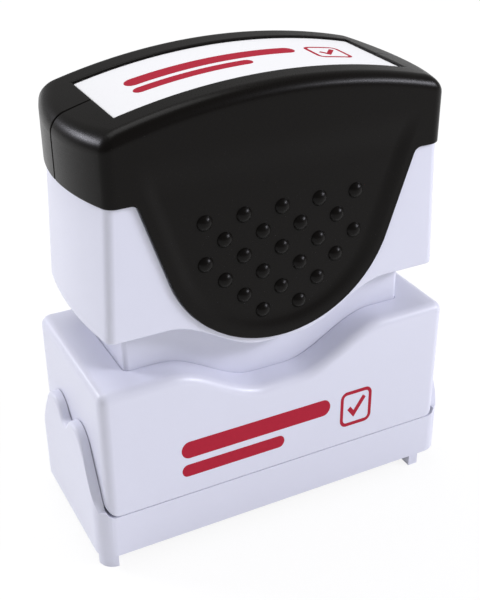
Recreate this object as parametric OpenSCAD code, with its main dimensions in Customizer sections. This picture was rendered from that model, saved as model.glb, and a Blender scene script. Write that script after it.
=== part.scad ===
// Pre-inked desk stamp. A sprung handle carries the inked die down through the base,
// and the same stroke swings two curved shutter leaves out of the die's way.
// Millimetres. The origin is on the table under the middle of the stamp, +Z up, +X to the right,
// and the front of the stamp faces -Y.

/* [Base casing] */
// Width of the casing across its end faces
casing_w = 58; // [56:0.5:64]
// Depth of the casing from front to back
casing_d = 26.7; // [26:0.1:30]
// Height of the casing's shoulders above the table
casing_top = 31; // [30:0.1:34]
// Thickness of the casing's front and back walls
casing_wall = 1; // [0.8:0.05:1.2]
// Thickness of the casing's end walls
end_wall = 1.4; // [1.2:0.1:2]
// Thickness of the casing's roof
roof = 1.4; // [1:0.1:2]
// Rounding of the casing's upper and upright edges
casing_edge_r = 1.5; // [0.6:0.1:2]
// Rounding of the casing's lower corners, seen from the front
casing_corner_r = 2; // [1.5:0.1:4]
// Height of the seam between casing and bottom frame
seam_z = 9.7; // [8:0.1:11]

/* [Wave] */
// Depth of the dip in the casing's roof and in the handle's lower edge
wave_depth = 6; // [3:0.5:6.5]
// Half width of the flat middle of the dip
wave_flat = 2.5; // [0.5:0.5:5]
// Half width at which the dip has run out
wave_end = 18; // [15:0.5:21]

/* [Handle] */
// How far the handle's lower corners stand in from the casing's ends
handle_setback = 2.45; // [1.5:0.05:3]
// How much each end of the handle leans in from its lower edge up to the cap
handle_lean = 1; // [0.2:0.1:1.2]
// How far the handle's front and back stand in from the casing's
handle_step = 1; // [0.6:0.05:1.8]
// Height of the handle's ends, from lower edge to cap
handle_h = 20; // [18:0.5:24]
// How far the handle's ends bow outwards at mid depth
end_bow = 1.2; // [0.8:0.1:2]
// Rounding of the handle's upright corners
handle_corner_r = 1.4; // [0.8:0.1:2]
// Thickness of the handle's walls
handle_wall = 2; // [1.6:0.1:2.4]
// Thickness of the deck that closes the handle under the cap
deck_t = 1.7; // [1.2:0.1:2.5]
// Depth of the tray above the deck
deck_sunk = 1; // [0.5:0.1:2]
// Stroke of the handle
travel = 7; // [6:0.1:9]

/* [Cap and grips] */
// Height of the cap at its crown, above the handle
cap_h = 13.1; // [12:0.1:16]
// Radius of the cap's arched top
crown_r = 91; // [80:1:150]
// How far the cap and its aprons stand proud of the handle's front and back
cap_proud = 0.6; // [0.4:0.05:1]
// How far the cap's ends stand proud of the handle's at mid depth
cap_end_proud = 1.35; // [1.2:0.05:1.6]
// How far the cap's ends bow outwards at mid depth
cap_bow = 2.7; // [2:0.1:2.8]
// Rounding of the cap's upper edge
cap_edge_r = 2; // [1.5:0.1:3]
// Thickness of the cap's walls
cap_wall = 1.8; // [1.4:0.1:2.2]
// Gap at the seam between the two grips
seam_gap = 0.1; // [0.05:0.05:0.3]
// Radius of the apron's round lower end
apron_r = 18.2; // [16:0.1:20]
// Lean of the apron's straight flanks
apron_lean = 18.4; // [12:0.2:22]
// Rounding where the apron's flanks run out under the cap
apron_root_r = 1.2; // [0.6:0.1:2]
// White lip left under the apron
apron_lip = 0.85; // [0.5:0.05:1.5]
// Depth of the pocket in the handle that the apron lies in
apron_pocket = 0.9; // [0.6:0.1:1.2]
// Width of the raised rim round the dished grip face
dish_rim = 1.2; // [0.8:0.1:2.5]
// Width of the slope from the rim to the floor of the dish
dish_slope = 2.2; // [1:0.1:3]
// Depth of the dish
dish_depth = 0.6; // [0.3:0.05:0.8]
// Distance of the dish's upper edge under the crown
dish_drop = 8; // [6:0.5:10]
// Radius of a grip bump
bump_r = 1.3; // [0.8:0.1:1.6]
// Height of a grip bump
bump_h = 0.6; // [0.4:0.05:0.8]
// Spacing of the bumps along a row
bump_pitch = 5.93; // [4.5:0.01:6.5]
// Spacing of the bump rows
bump_row_pitch = 3.12; // [3:0.02:3.4]
// Distance of the lowest bump row above the apron's lower end
bump_low = 4.75; // [4:0.05:6]

/* [Label] */
// Length of the label
label_l = 43.9; // [36:0.1:45]
// Depth of the label
label_d = 15.7; // [12:0.1:17]
// Thickness of the label
label_t = 0.3; // [0.2:0.05:0.5]
// How far the label lies under the cap's top
label_sunk = 0.35; // [0.2:0.05:0.8]

/* [Bottom frame] */
// Thickness of the end panels
panel_t = 1.5; // [1.2:0.1:2]
// Height of the feet
foot_h = 2.3; // [1.5:0.1:3]
// Thickness of the front and back strips
strip_t = 1.4; // [1:0.1:1.6]
// Half depth of the casing's ears that plug into the frame's ends
ear_hd = 8; // [6:0.5:9]
// Thickness of the frame under the ears
ear_floor = 1.5; // [1:0.1:3]
// Rounding of the frame's upright corners
frame_r = 2.8; // [2:0.1:3.5]
// Radius of a lobe of the end panel
lobe_r = 3.6; // [3.5:0.1:4.3]
// Distance of a lobe's centre from mid depth
lobe_y = 4.5; // [4.4:0.1:5]
// Height of the lobes' centres above the table
lobe_z = 18; // [17:0.1:20]
// Rounding of the notch between the lobes
notch_r = 1.5; // [1.5:0.1:2]
// Height at which the panel's sloping flank starts
flank_z = 10.6; // [10.5:0.1:13]
// How far the flank's foot stands in from the front and back
flank_in = 1.2; // [0.5:0.1:2]
// Length of a corner foot along the width
foot_l = 2.8; // [2:0.1:4]
// Depth of a foot
foot_d = 2.6; // [2:0.1:4]
// How far the other two feet stand in from the ends
foot_inset = 4; // [2.5:0.1:6]
// Length of an inset foot along the width
inset_foot_l = 1.7; // [1.2:0.1:3]
// How far the feet's outer faces stand in from the frame's
foot_setback = 0.35; // [0.1:0.05:0.6]
// How much tighter the casing's seat in the frame is rounded than the casing
seat_relief = 0.7; // [0.2:0.1:1]

/* [Shutter] */
// Thickness of a shutter leaf
leaf_t = 0.8; // [0.6:0.05:1]
// Height of the closed leaves above the table
leaf_floor = 0.8; // [0.6:0.1:1.5]
// Angle that a leaf covers, from straight down
leaf_span = 38; // [34:1:40]
// Angle left open between the two closed leaves
leaf_split = 1.4; // [1:0.1:3]
// Thickness of a leaf's end arm
arm_t = 1.1; // [0.8:0.1:1.4]
// Radius of an arm's hub
hub_r = 2.9; // [2.5:0.1:3.1]
// Radius of the stub axles
pivot_r = 1.6; // [1.2:0.1:1.8]
// Radius of a stub axle's head
pivot_head_r = 3; // [2.4:0.1:3.4]
// Thickness of a stub axle's head
pivot_head_t = 0.7; // [0.5:0.1:0.9]
// Radius of the drive pins
pin_r = 0.8; // [0.6:0.05:0.9]
// Free width beside a drive pin in its slot
slot_clear = 0.45; // [0.4:0.05:0.6]
// Wall of the lever round its slot
lever_wall = 1.1; // [0.8:0.1:1.4]

/* [Die and plunger] */
// Depth of the die's printing face
die_d = 12.2; // [10:0.1:12.6]
// Height of the die's raised printing face
die_face_h = 1.4; // [1:0.1:2]
// Thickness of the die's base sheet
die_base_t = 1.2; // [0.8:0.1:1.6]
// Width of the die's base sheet beyond the front and back of its printing face
die_flange = 0.35; // [0.2:0.05:0.6]
// Length of the die's base sheet beyond the ends of its printing face
die_end_flange = 1.4; // [0.8:0.1:2]
// Thickness of the bezel's long walls
bezel_wall = 0.75; // [0.6:0.05:1]
// Thickness of the bezel's end walls
bezel_end = 2; // [1.5:0.1:3]
// Thickness of the bezel's lip under the die
bezel_lip = 0.6; // [0.4:0.1:0.8]
// Height of the bezel's walls above its lip
bezel_h = 2.1; // [1.8:0.1:3]
// Thickness of the felt ink reservoir
felt_t = 3.9; // [2.5:0.1:5]
// Thickness of the plunger's floor over the felt
floor_t = 1.5; // [1:0.1:2]
// Wall of the felt's pocket
felt_wall = 1.2; // [1:0.1:1.6]
// Thickness of the neck's walls
neck_wall = 1.5; // [1.2:0.1:2]
// Step from the die carrier out to the neck's front and back
neck_step = 1; // [0.6:0.1:1.2]
// Step from the neck's ends out to the carrier's stop lips
stop_lip = 1.3; // [1:0.1:2]
// Rounding of the neck's upright edges
neck_r = 0.8; // [0.4:0.1:1.2]
// Height of the neck's lower end above the table
neck_z = 20; // [19:0.5:23]

/* [Springs and screws] */
// Mean radius of a spring's coil
spring_r = 2.9; // [2.5:0.1:3.5]
// Radius of the spring wire
wire_r = 0.35; // [0.25:0.05:0.5]
// Turns of a spring
spring_turns = 9; // [6:1:11]
// Distance of each spring from the middle
spring_x = 8; // [6:0.5:11]
// Depth of the spring bridge
bridge_d = 5; // [4:0.5:6]
// Thickness of the spring bridge
bridge_h = 3; // [2:0.5:3.5]
// Thickness of the shelf under each end of the bridge
shelf_t = 1.5; // [1:0.1:2]
// Thickness of the cheeks beside each end of the bridge
cheek_t = 1; // [0.8:0.1:1.5]
// Height of the pegs that hold the spring ends
peg_h = 3; // [2:0.5:4]
// Radius of a screw's shank
screw_r = 1.2; // [0.9:0.1:1.5]
// Radius of a screw's head
screw_head_r = 2.2; // [1.8:0.1:2.6]
// Height of a screw's head
screw_head_h = 1.5; // [1:0.1:2]
// Length of a screw's shank
screw_l = 9; // [7:0.5:12]
// Distance of each screw from the middle
screw_x = 16.5; // [15:0.5:18]
// Wall of the plunger's posts round the screws
post_wall = 1.6; // [1.2:0.1:2]
// Thickness of the web that holds a post
web_t = 1.2; // [1:0.1:1.6]

/* [Clearances] */
// Gap between pieces that pass each other
pass_gap = 0.3; // [0.2:0.05:0.4]
// Gap between a fixed piece and its seat's sides
seat_gap = 0.1; // [0.05:0.05:0.2]
// Radial running clearance of a pivot
run_gap = 0.05; // [0.02:0.01:0.1]

/* [Hidden] */

$fn = 48;
// Length by which a cut runs past a face, and a length beyond the whole stamp
over = 1;
far = 100;
// Smallest radius of an inner corner
least_r = 0.3;

// Handle, at rest
handle_w = casing_w - 2 * handle_setback;
handle_top_w = handle_w - 2 * handle_lean;
handle_d = casing_d - 2 * handle_step;
handle_z = casing_top + travel + pass_gap;
cap_z = handle_z + handle_h;
crown_z = cap_z + cap_h;
deck_z = cap_z - deck_sunk - deck_t;

// Casing hollow and the row of pieces at each end, from the wall inwards
casing_hw = casing_w / 2;
casing_hd = casing_d / 2;
room_hw = casing_hw - end_wall;
room_hd = casing_hd - casing_wall;
outer_arm_x = room_hw - pass_gap - arm_t;
inner_arm_x = outer_arm_x - pass_gap - arm_t;
carrier_hw = inner_arm_x - pass_gap;

// Shutter circle about the pivot
leaf_ro = room_hd - pass_gap;
leaf_ri = leaf_ro - leaf_t;
pivot_z = leaf_floor + leaf_ro;

// The pin passes the pivot's height at mid stroke, level with half the travel,
// so the lever turns a quarter turn
pin_y = travel / 2;
pin_z = pivot_z + travel / 2;
pin_reach = norm([pin_y, travel / 2]);
slot_hw = pin_r + slot_clear;
lever_hw = slot_hw + lever_wall;

// Die stack, from the printing face at the height of one stroke
die_z = travel;
lip_z = die_z + die_face_h - bezel_lip;
felt_z = die_z + die_face_h + die_base_t;
bezel_top = die_z + die_face_h + bezel_h;
floor_z = felt_z + felt_t;
die_base_hw = carrier_hw - bezel_end - seat_gap;
die_base_hd = die_d / 2 + die_flange;
die_face_hw = die_base_hw - die_end_flange;
carrier_hd = die_base_hd + seat_gap + bezel_wall;
felt_hw = die_base_hw;
felt_hd = carrier_hd - felt_wall - seat_gap;
neck_hw = carrier_hw - stop_lip;
neck_hd = carrier_hd + neck_step;

// Spring bridge just over the levers' highest reach
bridge_z = pin_z + lever_hw + pass_gap;
bridge_top = bridge_z + bridge_h;
peg_r = spring_r - wire_r - pass_gap;

// Ears that carry the stub axles, plugged into the bottom frame's ends
ear_z = foot_h + ear_floor;

// Bottom frame
panel_x = casing_hw + seat_gap;
frame_hw = panel_x + panel_t;
frame_corner_r = casing_corner_r - seat_relief;

// Apron and dish on each grip
cap_hw = handle_top_w / 2 + end_bow + cap_end_proud - cap_bow;
cap_hd = handle_d / 2 + cap_proud;
apron_low = handle_z - wave_depth + apron_lip;
apron_z = apron_low + apron_r;
dish_top = crown_z - dish_drop;
// Share of the dish's slope that runs on past the grip's face
dish_out = 0.3;
BUMP_ROWS = [5, 4, 5, 4, 3, 2];

// Wave profile: 0 in the dip, 1 on the shoulders
function wave(x) =
    let (t = (abs(x) - wave_flat) / (wave_end - wave_flat))
    t <= 0 ? 0 : t >= 1 ? 1 : (1 - cos(180 * t)) / 2;

// Points of an arc
function arc(c, r, a0, a1, n) =
    [for (i = [0:n]) let (a = a0 + (a1 - a0) * i / n) [c.x + r * cos(a), c.y + r * sin(a)]];

// Rounded rectangle about the origin
function rounded_rect(hw, hd, r) = concat(
    arc([hw - r, hd - r], r, 0, 90, 6), arc([r - hw, hd - r], r, 90, 180, 6),
    arc([r - hw, r - hd], r, 180, 270, 6), arc([hw - r, r - hd], r, 270, 360, 6));

function mirrored_x(pts) = [for (i = [len(pts) - 1:-1:0]) [-pts[i].x, pts[i].y]];
function mirrored_y(pts) = [for (i = [len(pts) - 1:-1:0]) [pts[i].x, -pts[i].y]];
function inner_points(pts) = [for (i = [1:len(pts) - 2]) pts[i]];
function all_but_first(pts) = [for (i = [1:len(pts) - 1]) pts[i]];

// Plan of the handle and cap: straight front and back, ends bowed outwards, rounded corners.
// The ring starts at the middle of the right end and runs along the front first.
function bowed_plan(hw, hd, r, bow) =
    let (
        bow_r = (hd * hd + bow * bow) / (2 * bow),
        bow_x = hw + bow - bow_r,
        corner_x = bow_x + sqrt(pow(bow_r - r, 2) - pow(hd - r, 2)),
        turn = -asin((hd - r) / (bow_r - r)),
        right = concat(
            arc([bow_x, 0], bow_r, 0, turn, 5),
            all_but_first(arc([corner_x, r - hd], r, turn, -90, 5))),
        steps = 14,
        face = [for (i = [1:steps - 1]) [corner_x * (1 - 2 * i / steps), -hd]],
        front = concat(right, face, mirrored_x(right)))
    concat(front, inner_points(mirrored_y(front)));

// Solid between rings of equal length, closed by the flat first ring and by strips on the last
module loft(rings) {
    n = len(rings[0]);
    m = len(rings);
    half = n / 2;
    last = (m - 1) * n;
    sides = [for (k = [0:m - 2]) for (i = [0:n - 1])
        let (a = k * n + i, b = k * n + (i + 1) % n) each [[a, b, b + n], [a, b + n, a + n]]];
    strips = [for (i = [1:half - 2]) each [
        [last + i, last + i + 1, last + n - i - 1], [last + i, last + n - i - 1, last + n - i]]];
    tips = [[last, last + 1, last + n - 1], [last + half - 1, last + half, last + half + 1]];
    polyhedron([for (r = rings) each r], concat([[for (i = [n - 1:-1:0]) i]], sides, strips, tips));
}

function lifted(pts, z) = [for (p = pts) [p.x, p.y, z]];

// Solid between two outlines in the XZ plane, from the depth y0 to the depth y1
module outline_block(outline, y0, y1) {
    translate([0, y1, 0]) rotate([90, 0, 0]) linear_extrude(y1 - y0) polygon(outline);
}

// Box given by its lowest and highest corner
module span_box(low, high) {
    translate(low) cube(high - low);
}

// Rod along X from x0 to x1
module rod_x(x0, x1, r, y, z) {
    translate([x0, y, z]) rotate([0, 90, 0]) cylinder(h = x1 - x0, r = r);
}

// Lower edge of the handle or upper face of the casing along X, over the half width hw
function wave_line(hw, z) = concat([[-hw, z]],
    [for (i = [-12:12]) let (x = wave_end * i / 12) [x, z - wave_depth * (1 - wave(x))]], [[hw, z]]);

// Cross section of the casing at x: upright sides, rounded upper edges
function casing_section(x) =
    let (
        into_edge = max(0, abs(x) - casing_hw + casing_edge_r),
        into_corner = max(0, abs(x) - casing_hw + casing_corner_r),
        inset = casing_edge_r - sqrt(max(0, pow(casing_edge_r, 2) - pow(into_edge, 2))),
        rise = casing_corner_r - sqrt(max(0, pow(casing_corner_r, 2) - pow(into_corner, 2))),
        hd = casing_hd - inset,
        top = casing_top - wave_depth * (1 - wave(x)) - inset,
        r = casing_edge_r,
        pts = concat([[hd, seam_z + rise]], arc([hd - r, top - r], r, 0, 90, 4),
            arc([r - hd, top - r], r, 90, 180, 4), [[-hd, seam_z + rise]]))
    [for (p = pts) [x, p.x, p.y]];

// Outer form of the casing, drawn through its cross sections
module casing_form() {
    round_end = [for (a = [0:15:90]) casing_hw - casing_corner_r * (1 - sin(a))];
    stations = concat([for (i = [6:-1:0]) -round_end[i]], [for (i = [-12:12]) wave_end * i / 12], round_end);
    n = len(casing_section(0));
    m = len(stations);
    sides = [for (k = [0:m - 2]) for (i = [0:n - 1])
        let (a = k * n + i, b = k * n + (i + 1) % n) each [[a, b + n, b], [a, a + n, b + n]]];
    ends = [[for (i = [0:n - 1]) i], [for (i = [n - 1:-1:0]) (m - 1) * n + i]];
    polyhedron([for (x = stations) each casing_section(x)], concat(ends, sides));
}

// Front view of the casing, grown by the gap g, for the seat in the bottom frame
function casing_front(g, r) =
    let (hw = casing_hw + g, z = seam_z - g)
    concat(arc([r - hw, z + r], r, 180, 270, 6), arc([hw - r, z + r], r, 270, 360, 6),
        [[hw, far], [-hw, far]]);

module base_casing() color("white") {
    difference() {
        union() {
            difference() {
                casing_form();
                outline_block(concat(wave_line(room_hw, casing_top - roof), [[room_hw, 0], [-room_hw, 0]]),
                    -room_hd, room_hd);
                span_box([-neck_hw - pass_gap, -neck_hd - pass_gap, 0],
                    [neck_hw + pass_gap, neck_hd + pass_gap, far]);
            }
            for (side = [0, 1]) mirror([side, 0, 0]) {
                span_box([room_hw, -ear_hd, ear_z], [casing_hw, ear_hd, lobe_z]);
                bridge_saddle();
            }
        }
        for (side = [0, 1]) mirror([side, 0, 0]) {
            rod_x(room_hw - over, casing_hw + over, pivot_r + run_gap, 0, pivot_z);
            rod_x(casing_hw - pivot_head_t, casing_hw + over, pivot_head_r + seat_gap, 0, pivot_z);
        }
    }
}

// Shelf with two cheeks, rooted in the middle of an end wall, which the spring bridge drops into
module bridge_saddle() {
    hw = bridge_d / 2 + seat_gap;
    root_x = (room_hw + casing_hw) / 2;
    difference() {
        span_box([outer_arm_x, -hw - cheek_t, bridge_z - shelf_t], [root_x, hw + cheek_t, bridge_top]);
        span_box([0, -hw, bridge_z], [room_hw, hw, far]);
    }
}

// End view of the bottom frame: two lobes over a wide foot, with a round notch that runs into both
function panel_half() =
    let (
        foot_y = casing_hd - flank_in,
        flank = [foot_y - lobe_y, flank_z - lobe_z],
        lean = atan2(-flank.y, flank.x),
        touch = acos(lobe_r / norm(flank)) - lean,
        notch_turn = acos(lobe_y / (lobe_r + notch_r)),
        notch_z = lobe_z + (lobe_r + notch_r) * sin(notch_turn))
    concat([[casing_hd, foot_h], [casing_hd, flank_z], [foot_y, flank_z]],
        arc([lobe_y, lobe_z], lobe_r, touch, 180 - notch_turn, 10),
        all_but_first(arc([0, notch_z], notch_r, -notch_turn, -90, 5)));

function panel_outline() =
    let (half = panel_half())
    concat(half, inner_points(mirrored_x(half)), [[-casing_hd, foot_h]]);

module bottom_frame() color("white") {
    difference() {
        intersection() {
            linear_extrude(lobe_z + lobe_r + over) polygon(rounded_rect(frame_hw, casing_hd, frame_r));
            translate([-frame_hw, 0, 0]) rotate([90, 0, 90])
                linear_extrude(2 * frame_hw) polygon(panel_outline());
        }
        outline_block(casing_front(seat_gap, frame_corner_r), -casing_d, casing_d);
        span_box([-room_hw, strip_t - casing_hd, 0], [room_hw, casing_hd - strip_t, far]);
        span_box([-panel_x, -ear_hd - seat_gap, ear_z - seat_gap], [panel_x, ear_hd + seat_gap, far]);
    }
    for (turn = [0, 180]) rotate(turn) frame_feet();
}

// Corner foot at the front left and inset foot at the front right; turned round for the back pair
module frame_feet() {
    hw = frame_hw - foot_setback;
    hd = casing_hd - foot_setback;
    intersection() {
        linear_extrude(foot_h) polygon(rounded_rect(hw, hd, frame_r - foot_setback));
        union() {
            span_box([-frame_hw, -casing_hd, 0], [foot_l - frame_hw, foot_d - casing_hd, foot_h]);
            span_box([frame_hw - foot_inset - inset_foot_l, -casing_hd, 0],
                [frame_hw - foot_inset, foot_d - casing_hd, foot_h]);
        }
    }
}

module spring_bridge() color("gainsboro") {
    hw = bridge_d / 2;
    span_box([seat_gap - room_hw, -hw, bridge_z], [room_hw - seat_gap, hw, bridge_top]);
    for (side = [-1, 1]) translate([side * spring_x, 0, bridge_top]) cylinder(h = peg_h, r = peg_r);
}

// Stub axle for the right end: head in the wall's counterbore, shank through both arms
module shutter_pivot() {
    rod_x(casing_hw - pivot_head_t, casing_hw, pivot_head_r, 0, pivot_z);
    rod_x(inner_arm_x, casing_hw - pivot_head_t, pivot_r, 0, pivot_z);
}

module shutter_pivot_left() color("silver") mirror([1, 0, 0]) shutter_pivot();
module shutter_pivot_right() color("silver") shutter_pivot();

// Wedge about the pivot that a closed front leaf fills, straight down being -Y here
module leaf_wedge(r) {
    intersection() {
        circle(r);
        polygon(concat([[0, 0]], arc([0, 0], far, -90 - leaf_span, -90 - leaf_split / 2, 1)));
    }
}

// End view of the curved leaf
module leaf_outline() {
    difference() {
        leaf_wedge(leaf_ro);
        circle(leaf_ri);
    }
}

// Plain arm: hub and wedge, with the bore for the stub axle
module arm_outline() {
    difference() {
        union() {
            circle(hub_r);
            leaf_wedge(leaf_ro);
        }
        circle(pivot_r + run_gap);
    }
}

// Driven arm: the same with a slotted lever, pointing up at the drive pin
module lever_outline() {
    difference() {
        union() {
            arm_outline();
            rotate(45) translate([hub_r, -lever_hw]) square([pin_reach - hub_r, 2 * lever_hw]);
            rotate(45) translate([pin_reach, 0]) circle(lever_hw);
            rotate(45) lever_root();
        }
        rotate(45) translate([pin_y, -slot_hw]) square([pin_reach - pin_y, 2 * slot_hw]);
        rotate(45) for (d = [pin_y, pin_reach]) translate([d, 0]) circle(slot_hw);
    }
}

// Where the lever grows out of the hub
module lever_root() {
    difference() {
        translate([0, -lever_hw]) square([hub_r + over, 2 * lever_hw]);
        circle((pivot_r + hub_r) / 2);
    }
}

// Turns a flat outline in (Y, Z) about the pivot into a plate from x0 to x1
module end_plate(x0, x1) {
    translate([x0, 0, pivot_z]) rotate([90, 0, 90]) linear_extrude(x1 - x0) children();
}

// Front leaf: its driven arm is in the inner row at the left end,
// and its plain arm in the outer row at the right end
module shutter_leaf() {
    end_plate(-inner_arm_x - arm_t, -inner_arm_x) lever_outline();
    end_plate(-inner_arm_x, outer_arm_x) leaf_outline();
    end_plate(outer_arm_x, outer_arm_x + arm_t) arm_outline();
}

module front_shutter() color("whitesmoke") shutter_leaf();
module rear_shutter() color("whitesmoke") rotate(180) shutter_leaf();

// Handle form from the height z0 to z1, set in by the wall w
module handle_form(z0, z1, w) {
    slope = (handle_w - handle_top_w) / 2 / handle_h;
    r = max(least_r, handle_corner_r - w);
    ends = [for (z = [z0, z1]) lifted(
        bowed_plan(handle_top_w / 2 + (cap_z - z) * slope - w, handle_d / 2 - w, r, end_bow), z)];
    loft(ends);
}

// Round lower end of the apron, grown by g, and half its width at the height z on the flanks
function apron_end(g) = arc([0, apron_z], apron_r + g, 180 + apron_lean, 360 - apron_lean, 24);
function apron_flank(g, z) = (apron_r + g) / cos(apron_lean) + (z - apron_z) * tan(apron_lean);

// Where the right flank, grown by g, runs out under the cap, and from there up to the height top
function apron_root(g, top) =
    let (x = apron_flank(0, cap_z) + apron_root_r * tan((90 - apron_lean) / 2))
    concat(arc([x, cap_z - apron_root_r], apron_root_r - g, 180 - apron_lean, 90, 5), [[x, top]]);

// Front view of the apron, grown by g, up to the height top
function apron_outline(g, top) = concat(mirrored_x(apron_root(g, top)), apron_end(g), apron_root(g, top));

module handle_shell() color("white") {
    dip = handle_z - wave_depth;
    difference() {
        union() {
            difference() {
                handle_form(dip, cap_z, 0);
                handle_form(dip - over, deck_z, handle_wall);
                handle_form(deck_z + deck_t, cap_z + over, handle_wall);
            }
            for (side = [-1, 1]) translate([side * spring_x, 0, deck_z - peg_h])
                cylinder(h = peg_h + over, r = peg_r);
        }
        outline_block(concat(wave_line(far, handle_z), [[far, 0], [-far, 0]]), -handle_d, handle_d);
        for (turn = [0, 180]) rotate(turn)
            outline_block(apron_outline(seat_gap, cap_z + over), -handle_d, apron_pocket - handle_d / 2);
        for (side = [-1, 1]) translate([side * screw_x, 0, deck_z - over])
            cylinder(h = deck_t + 2 * over, r = screw_r + seat_gap);
    }
}

// Height of the cap's arched top at x
function arch(x) = crown_z - crown_r + sqrt(crown_r * crown_r - x * x);

// Everything under the cap's arch lowered by d
module under_arch(d) {
    translate([0, far, crown_z - crown_r]) rotate([90, 0, 0])
        cylinder(h = 2 * far, r = crown_r - d, $fn = 240);
}

// Outer form of the cap: upright walls, then an edge rounded into the arched top
module cap_form() {
    corner_r = handle_corner_r + cap_proud;
    plan = function (inset)
        bowed_plan(cap_hw - inset, cap_hd - inset, max(least_r, corner_r - inset / 2), cap_bow);
    edge = [for (a = [0:18:90]) let (inset = cap_edge_r * (1 - cos(a)), drop = cap_edge_r * (1 - sin(a)))
        [for (p = plan(inset)) [p.x, p.y, arch(p.x) - drop]]];
    loft(concat([lifted(plan(0), cap_z)], edge));
}

// Dish in the grip's face, with sloping sides from just outside the face in to its floor
module dish() {
    rings = [for (t = [-dish_out, 1])
        let (g = -dish_rim - dish_slope * t, top = dish_top + g, flank = apron_flank(g, top))
        [for (p = concat([[-flank, top]], apron_end(g), [[flank, top]]))
            [p.x, dish_depth * t - cap_hd, p.y]]];
    n = len(rings[0]);
    sides = [for (i = [0:n - 1]) let (b = (i + 1) % n) each [[i, b, b + n], [i, b + n, i + n]]];
    polyhedron(concat(rings[0], rings[1]),
        concat([[for (i = [n - 1:-1:0]) i]], sides, [[for (i = [0:n - 1]) n + i]]));
}

// Low dome on the dish's floor
module bump() {
    ball_r = (bump_r * bump_r + bump_h * bump_h) / (2 * bump_h);
    rotate([90, 0, 0]) intersection() {
        translate([0, 0, bump_h - ball_r]) sphere(ball_r, $fn = 32);
        span_box([-bump_r, -bump_r, -bump_h / 2], [bump_r, bump_r, bump_h]);
    }
}

module bump_field() {
    for (row = [0:len(BUMP_ROWS) - 1]) for (i = [0:BUMP_ROWS[row] - 1])
        translate([(i - (BUMP_ROWS[row] - 1) / 2) * bump_pitch, dish_depth - cap_hd,
            apron_low + bump_low + (len(BUMP_ROWS) - 1 - row) * bump_row_pitch]) bump();
}

// One half of the cap with its apron, seen from the front
module grip() {
    recess = label_t + label_sunk;
    difference() {
        intersection() {
            cap_form();
            span_box([-far, -far, cap_z], [far, -seam_gap / 2, far]);
        }
        intersection() {
            linear_extrude(far)
                polygon(bowed_plan(cap_hw - cap_wall, cap_hd - cap_wall, handle_corner_r, cap_bow));
            under_arch(cap_wall + recess);
        }
        difference() {
            span_box([-label_l / 2 - seat_gap, -label_d / 2 - seat_gap, cap_z],
                [label_l / 2 + seat_gap, label_d / 2 + seat_gap, far]);
            under_arch(recess);
        }
        dish();
    }
    difference() {
        outline_block(apron_outline(0, cap_z + cap_proud), -cap_hd, apron_pocket - handle_d / 2);
        span_box([-far, cap_wall - cap_hd, cap_z], [far, far, far]);
        dish();
    }
    bump_field();
}

module front_grip() color([0.13, 0.13, 0.12]) grip();
module rear_grip() color([0.13, 0.13, 0.12]) rotate(180) grip();

module index_label() color("white") {
    intersection() {
        span_box([-label_l / 2, -label_d / 2, cap_z], [label_l / 2, label_d / 2, far]);
        difference() {
            under_arch(label_sunk);
            under_arch(label_sunk + label_t);
        }
    }
}

module plunger() color("white") {
    skirt_z = bezel_top;
    lip_top = casing_top - roof - pass_gap;
    hollow_z = floor_z + floor_t;
    difference() {
        union() {
            translate([0, 0, neck_z]) linear_extrude(deck_z - neck_z)
                polygon(rounded_rect(neck_hw, neck_hd, neck_r));
            span_box([-carrier_hw, -carrier_hd, skirt_z], [carrier_hw, carrier_hd, lip_top]);
        }
        difference() {
            span_box([neck_wall - neck_hw, neck_wall - neck_hd, hollow_z],
                [neck_hw - neck_wall, neck_hd - neck_wall, far]);
            for (side = [-1, 1]) translate([side * screw_x, 0, 0]) screw_post();
            span_box([-far, -far, 0], [far, neck_wall - carrier_hd, neck_z]);
            span_box([-far, carrier_hd - neck_wall, 0], [far, far, neck_z]);
        }
        span_box([-felt_hw - seat_gap, -felt_hd - seat_gap, 0],
            [felt_hw + seat_gap, felt_hd + seat_gap, floor_z]);
        span_box([-far, -bridge_d / 2 - pass_gap, bridge_z - pass_gap],
            [far, bridge_d / 2 + pass_gap, bridge_top + travel + pass_gap]);
        for (side = [-1, 1]) translate([side * screw_x, 0, deck_z - screw_l])
            cylinder(h = screw_l + over, r = screw_r + run_gap);
        rod_x(-carrier_hw - over, neck_wall - neck_hw, pin_r + run_gap, pin_y, pin_z);
        rod_x(neck_hw - neck_wall, carrier_hw + over, pin_r + run_gap, -pin_y, pin_z);
    }
}

// Post for a screw, held by a web between the neck's long walls
module screw_post() {
    depth = screw_l + post_wall;
    translate([0, 0, deck_z - depth]) {
        cylinder(h = depth, r = screw_r + post_wall);
        span_box([-web_t / 2, -neck_hd, 0], [web_t / 2, neck_hd, depth]);
    }
}

module handle_screws() color("silver") {
    for (side = [-1, 1]) translate([side * screw_x, 0, deck_z + deck_t]) {
        cylinder(h = screw_head_h, r = screw_head_r);
        translate([0, 0, -deck_t - screw_l + over]) cylinder(h = deck_t + screw_l - over, r = screw_r);
    }
}

// Pin on the right end of the plunger, reaching through the lever of the inner row
module shutter_drive_pin() {
    rod_x(neck_hw - neck_wall, inner_arm_x + arm_t, pin_r, -pin_y, pin_z);
}

module shutter_drive_pin_left() color("silver") rotate(180) shutter_drive_pin();
module shutter_drive_pin_right() color("silver") shutter_drive_pin();

module ink_reservoir() color("firebrick") {
    span_box([-felt_hw, -felt_hd, felt_z], [felt_hw, felt_hd, floor_z]);
}

module stamp_die() color("crimson") {
    span_box([-die_base_hw, -die_base_hd, die_z + die_face_h], [die_base_hw, die_base_hd, felt_z]);
    span_box([-die_face_hw, -die_d / 2, die_z], [die_face_hw, die_d / 2, die_z + die_face_h]);
}

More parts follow.
